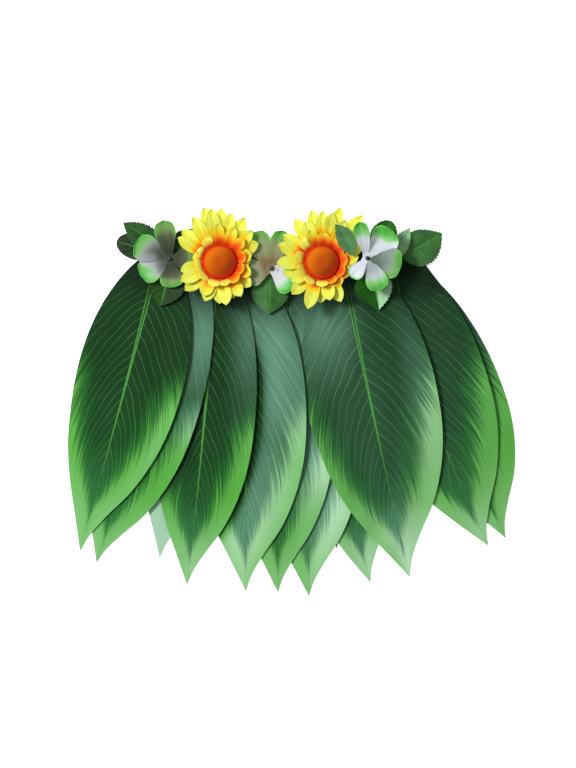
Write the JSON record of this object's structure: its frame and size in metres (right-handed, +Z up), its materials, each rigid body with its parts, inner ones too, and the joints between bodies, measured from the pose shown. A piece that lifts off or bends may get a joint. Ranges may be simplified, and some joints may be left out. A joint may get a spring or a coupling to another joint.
{
  "type": "leaf hula skirt",
  "caption": "Hula skirt of overlapping printed leaves on an elastic waistband with sunflowers, blossoms and small serrated leaves, laid flat front side up.",
  "frame": {"origin": "on the table, at the middle of the skirt's outline seen from above", "axes": "+X across the skirt to the right of the picture, +Y from the leaf tips to the waistband, +Z up from the table"},
  "size_m": [0.4472, 0.3888, 0.057],
  "materials": {
    "leaf_print": "woven polyester leaf, dark green print with pale veins and a light green margin, slight sheen",
    "leaf_back": "pale grey-green unprinted side of the leaf cloth, matte",
    "elastic": "black ribbed elastic, matte",
    "sprig_green": "coated cloth leaf, glossy green with moulded veins",
    "blossom_cloth": "thin polyester petal, white to grey centre and bright green rim, satin",
    "blossom_eye": "dark moulded centre",
    "stem_green": "moulded green stem",
    "sunflower_cloth": "polyester petal, lemon yellow tip fading to an orange-red base, satin",
    "sunflower_flock": "flocked dome, orange to red-brown, matte"
  },
  "bodies": {
    "root": {"back_leaf_1": "leaf_back", "back_leaf_2": "leaf_back", "back_leaf_3": "leaf_back", "back_leaf_4": "leaf_back", "back_leaf_5": "leaf_back", "back_leaf_6": "leaf_back", "back_leaf_7": "leaf_back", "front_leaf_1": "leaf_print", "front_leaf_2": "leaf_print", "front_leaf_3": "leaf_print", "front_leaf_4": "leaf_print", "front_leaf_5": "leaf_print", "front_leaf_6": "leaf_print", "front_leaf_7": "leaf_print", "front_leaf_8": "leaf_print", "front_leaf_9": "leaf_print", "front_leaf_10": "leaf_print", "waistband": "elastic", "sprig_leaf_1": "sprig_green", "sprig_leaf_2": "sprig_green", "sprig_leaf_3": "sprig_green", "sprig_leaf_4": "sprig_green", "sprig_leaf_5": "sprig_green", "sprig_leaf_6": "sprig_green", "sprig_leaf_7": "sprig_green", "sprig_leaf_8": "sprig_green", "sprig_leaf_9": "sprig_green", "sprig_leaf_10": "sprig_green", "blossom_1_petals": "blossom_cloth", "blossom_1_eye": "blossom_eye", "blossom_1_stem": "stem_green", "blossom_2_petals": "blossom_cloth", "blossom_2_eye": "blossom_eye", "blossom_2_stem": "stem_green", "blossom_3_petals": "blossom_cloth", "blossom_3_eye": "blossom_eye", "blossom_3_stem": "stem_green", "sunflower_1_outer_petals": "sunflower_cloth", "sunflower_1_middle_petals": "sunflower_cloth", "sunflower_1_inner_petals": "sunflower_cloth", "sunflower_1_disc": "sunflower_flock", "sunflower_1_calyx": "stem_green", "sunflower_2_outer_petals": "sunflower_cloth", "sunflower_2_middle_petals": "sunflower_cloth", "sunflower_2_inner_petals": "sunflower_cloth", "sunflower_2_disc": "sunflower_flock", "sunflower_2_calyx": "stem_green"}
  },
  "joints": []
}
